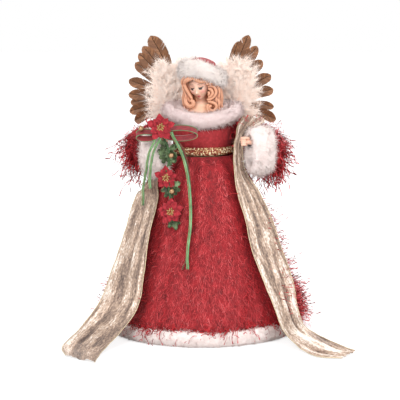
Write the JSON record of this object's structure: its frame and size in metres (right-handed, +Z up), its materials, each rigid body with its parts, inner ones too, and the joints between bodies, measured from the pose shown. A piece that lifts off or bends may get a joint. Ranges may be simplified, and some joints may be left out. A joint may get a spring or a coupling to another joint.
{
  "type": "angel figurine",
  "caption": "Angel tree topper or table figure: cloth-covered cone with resin head, feather wings, fur trim, ribbon shawl and a hanging flower spray.",
  "frame": {"origin": "on the cone's axis in the plane of its rim, where a tree's tip or a stand post enters", "axes": "+Z up along the cone, the face looks along -Y, -X is the viewer's left"},
  "size_m": [0.3862, 0.3507, 0.4062],
  "materials": {
    "card": "plain grey-brown paperboard",
    "padding": "pressed wadding",
    "wood_peg": "bare dowel",
    "steel_wire": "bare iron wire",
    "resin_skin": "hand-painted cast resin, skin and hair",
    "white_fur": "short white plush fur, slightly pink",
    "red_velvet": "short red pile",
    "eyelash_cloth": "red eyelash cloth with long loose fibres",
    "gold_braid": "woven metallic gold braid",
    "mesh_ribbon": "champagne crinkled mesh with wired gold edges",
    "flight_feather": "cream feather with bronze-gold painted tip",
    "down_fluff": "loose cream marabou down",
    "red_felt": "die-cut red felt",
    "gold_bead": "pearly gold lacquer",
    "gold_stamen": "gold glitter",
    "holly_leaf": "stiffened green cloth leaf",
    "bow_ribbon": "red ribbon with green wired edges",
    "stem_tape": "green paper tape over wire"
  },
  "bodies": {
    "root": {"cone_body": "card", "hem_trim": "white_fur", "skirt": "eyelash_cloth", "torso_core": "padding", "neck_post": "wood_peg", "arm_wire": "steel_wire", "head_bust": "resin_skin", "hat_crown": "red_velvet", "hat_brim": "white_fur", "collar_trim": "white_fur", "bodice": "red_velvet", "waist_braid": "gold_braid", "sleeve_left": "eyelash_cloth", "cuff_left": "white_fur", "hand_left": "resin_skin", "wing_backing_left": "card", "down_left": "down_fluff", "bow_loop_left": "bow_ribbon", "sleeve_right": "eyelash_cloth", "cuff_right": "white_fur", "hand_right": "resin_skin", "wing_backing_right": "card", "down_right": "down_fluff", "bow_loop_right": "bow_ribbon", "feather_left_1": "flight_feather", "feather_left_2": "flight_feather", "feather_left_3": "flight_feather", "feather_left_4": "flight_feather", "feather_left_5": "flight_feather", "feather_left_6": "flight_feather", "feather_left_7": "flight_feather", "feather_left_8": "flight_feather", "feather_left_9": "flight_feather", "feather_right_1": "flight_feather", "feather_right_2": "flight_feather", "feather_right_3": "flight_feather", "feather_right_4": "flight_feather", "feather_right_5": "flight_feather", "feather_right_6": "flight_feather", "feather_right_7": "flight_feather", "feather_right_8": "flight_feather", "poinsettia_1": "red_felt", "stamens_1": "gold_stamen", "holly_sprig_1": "holly_leaf", "gold_berry_1": "gold_bead", "poinsettia_2": "red_felt", "stamens_2": "gold_stamen", "holly_sprig_2": "holly_leaf", "gold_berry_2": "gold_bead", "poinsettia_3": "red_felt", "stamens_3": "gold_stamen", "holly_sprig_3": "holly_leaf", "gold_berry_3": "gold_bead", "bow_tail_1": "bow_ribbon", "bow_tail_2": "bow_ribbon", "bow_tail_3": "bow_ribbon", "bow_tail_4": "bow_ribbon", "spray_stem": "stem_tape", "shawl_ribbon": "mesh_ribbon"}
  },
  "joints": []
}
